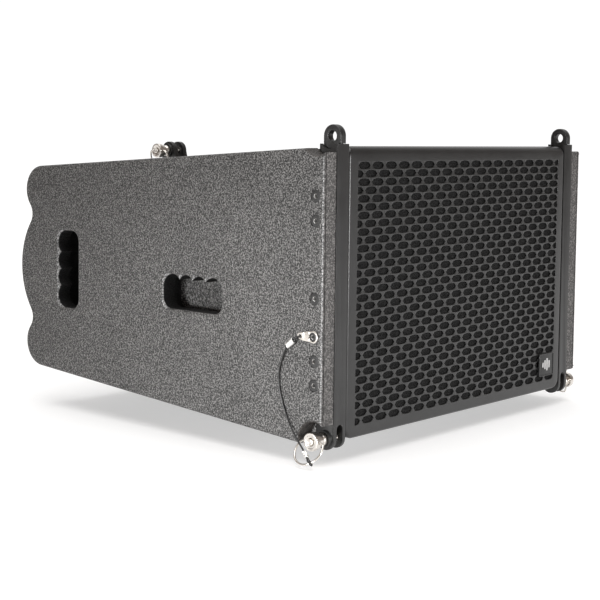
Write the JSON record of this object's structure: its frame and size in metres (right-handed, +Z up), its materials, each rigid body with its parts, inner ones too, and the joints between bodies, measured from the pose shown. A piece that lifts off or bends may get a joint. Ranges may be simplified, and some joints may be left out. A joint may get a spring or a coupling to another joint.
{
  "type": "line array loudspeaker cabinet",
  "caption": "Trapezoidal loudspeaker cabinet for a flown array, with perforated grille, steel rails, ball-lock pins on wire lanyards, side hand slots and a rear splay bar.",
  "frame": {"origin": "midpoint of the line through the holes of the two front tongues", "axes": "+X to the cabinet's own left as seen from behind the grille side, across the front; +Y from the grille to the rear; +Z up"},
  "size_m": [0.5156, 0.4991, 0.3368],
  "materials": {
    "textured_paint": "speckled textured paint on birch plywood",
    "raw_wood": "black stained plywood",
    "grille_steel": "fine powder coat",
    "foam": "open acoustic foam",
    "rigging_steel": "satin black zinc coating",
    "screw_steel": "black oxide",
    "bright_nickel": "polished nickel plate",
    "wire_jacket": "smooth black jacket over steel rope",
    "sleeve_metal": "crimped",
    "black_plastic": "fine moulded grain",
    "badge_plastic": "glossy with a silver emblem",
    "cone_paper": "coated pressed paper",
    "surround_rubber": "matte",
    "magnet_steel": "black",
    "circuit_board": "solder mask with copper coils"
  },
  "bodies": {
    "root": {"side_panel_left": "textured_paint", "side_panel_right": "textured_paint", "top_panel": "textured_paint", "bottom_panel": "textured_paint", "back_panel": "textured_paint", "hand_box_middle_left": "textured_paint", "hand_box_middle_right": "textured_paint", "hand_box_rear_left": "textured_paint", "hand_box_rear_right": "textured_paint", "front_baffle": "raw_wood", "grille": "grille_steel", "grille_foam": "foam", "badge": "badge_plastic", "front_rail_left": "rigging_steel", "front_rail_right": "rigging_steel", "front_tongue_left": "rigging_steel", "front_tongue_right": "rigging_steel", "rear_bracket": "rigging_steel", "connector_plate": "rigging_steel", "guide_bolt": "screw_steel", "side_screw_left_1": "screw_steel", "side_screw_left_2": "screw_steel", "side_screw_left_3": "screw_steel", "side_screw_left_4": "screw_steel", "side_screw_left_5": "screw_steel", "side_screw_left_6": "screw_steel", "side_screw_right_1": "screw_steel", "side_screw_right_2": "screw_steel", "side_screw_right_3": "screw_steel", "side_screw_right_4": "screw_steel", "side_screw_right_5": "screw_steel", "side_screw_right_6": "screw_steel", "lanyard_tab_left": "bright_nickel", "lanyard_tab_right": "bright_nickel", "lanyard_wire_left": "wire_jacket", "lanyard_wire_right": "wire_jacket", "tab_sleeve_left": "sleeve_metal", "tab_sleeve_right": "sleeve_metal", "speaker_socket_1": "black_plastic", "speaker_socket_2": "black_plastic", "waveguide": "black_plastic", "woofer_surround": "surround_rubber", "woofer_basket": "magnet_steel", "woofer_magnet": "magnet_steel", "compression_driver": "magnet_steel", "crossover_board": "circuit_board"},
    "front_pin_left": {"front_pin_left": "bright_nickel", "ring_sleeve_left": "sleeve_metal"},
    "front_pin_left_button": {"front_pin_left_button": "bright_nickel"},
    "front_pin_left_ring": {"front_pin_left_ring": "bright_nickel"},
    "front_pin_right": {"front_pin_right": "bright_nickel", "ring_sleeve_right": "sleeve_metal"},
    "front_pin_right_button": {"front_pin_right_button": "bright_nickel"},
    "front_pin_right_ring": {"front_pin_right_ring": "bright_nickel"},
    "rear_pin": {"rear_pin": "bright_nickel"},
    "rear_pin_button": {"rear_pin_button": "bright_nickel"},
    "rear_pin_ring": {"rear_pin_ring": "bright_nickel"},
    "splay_bar": {"splay_bar": "rigging_steel"},
    "woofer_cone": {"woofer_cone": "cone_paper"}
  },
  "joints": [
    {"name": "front_pin_left_pull", "type": "slide", "parent": "root", "child": "front_pin_left", "axis": [-1, 0, 0], "range_m": [0, 0.04], "deforming": ["lanyard_wire_left"]},
    {"name": "front_pin_right_pull", "type": "slide", "parent": "root", "child": "front_pin_right", "axis": [1, 0, 0], "range_m": [0, 0.04], "deforming": ["lanyard_wire_right"]},
    {"name": "rear_pin_pull", "type": "slide", "parent": "root", "child": "rear_pin", "axis": [-1, 0, 0], "range_m": [0, 0.045]},
    {"name": "front_pin_left_button_press", "type": "slide", "parent": "front_pin_left", "child": "front_pin_left_button", "axis": [1, 0, 0], "range_m": [0, 0.003], "stiffness_N_per_m": 400, "springref_m": -0.001},
    {"name": "front_pin_right_button_press", "type": "slide", "parent": "front_pin_right", "child": "front_pin_right_button", "axis": [-1, 0, 0], "range_m": [0, 0.003], "stiffness_N_per_m": 400, "springref_m": -0.001},
    {"name": "rear_pin_button_press", "type": "slide", "parent": "rear_pin", "child": "rear_pin_button", "axis": [1, 0, 0], "range_m": [0, 0.003], "stiffness_N_per_m": 400, "springref_m": -0.001},
    {"name": "front_pin_left_ring_turn", "type": "hinge", "parent": "front_pin_left", "child": "front_pin_left_ring", "pos_m": [-0.2426, 0, -0.304], "axis": [0, 1, 0], "range_deg": [-20, 52]},
    {"name": "front_pin_right_ring_turn", "type": "hinge", "parent": "front_pin_right", "child": "front_pin_right_ring", "pos_m": [0.2426, 0, -0.304], "axis": [0, 0, 1], "range_deg": [-65, 10]},
    {"name": "rear_pin_ring_turn", "type": "hinge", "parent": "rear_pin", "child": "rear_pin_ring", "pos_m": [-0.029, 0.4641, -0.0223], "axis": [0, 1, 0], "range_deg": [-5, 105]},
    {"name": "splay_bar_drop", "type": "slide", "parent": "root", "child": "splay_bar", "axis": [0, 0, -1], "range_m": [0, 0.06]},
    {"name": "woofer_cone_stroke", "type": "slide", "parent": "root", "child": "woofer_cone", "axis": [0, 1, 0], "range_m": [-0.005, 0.005], "stiffness_N_per_m": 2500}
  ]
}
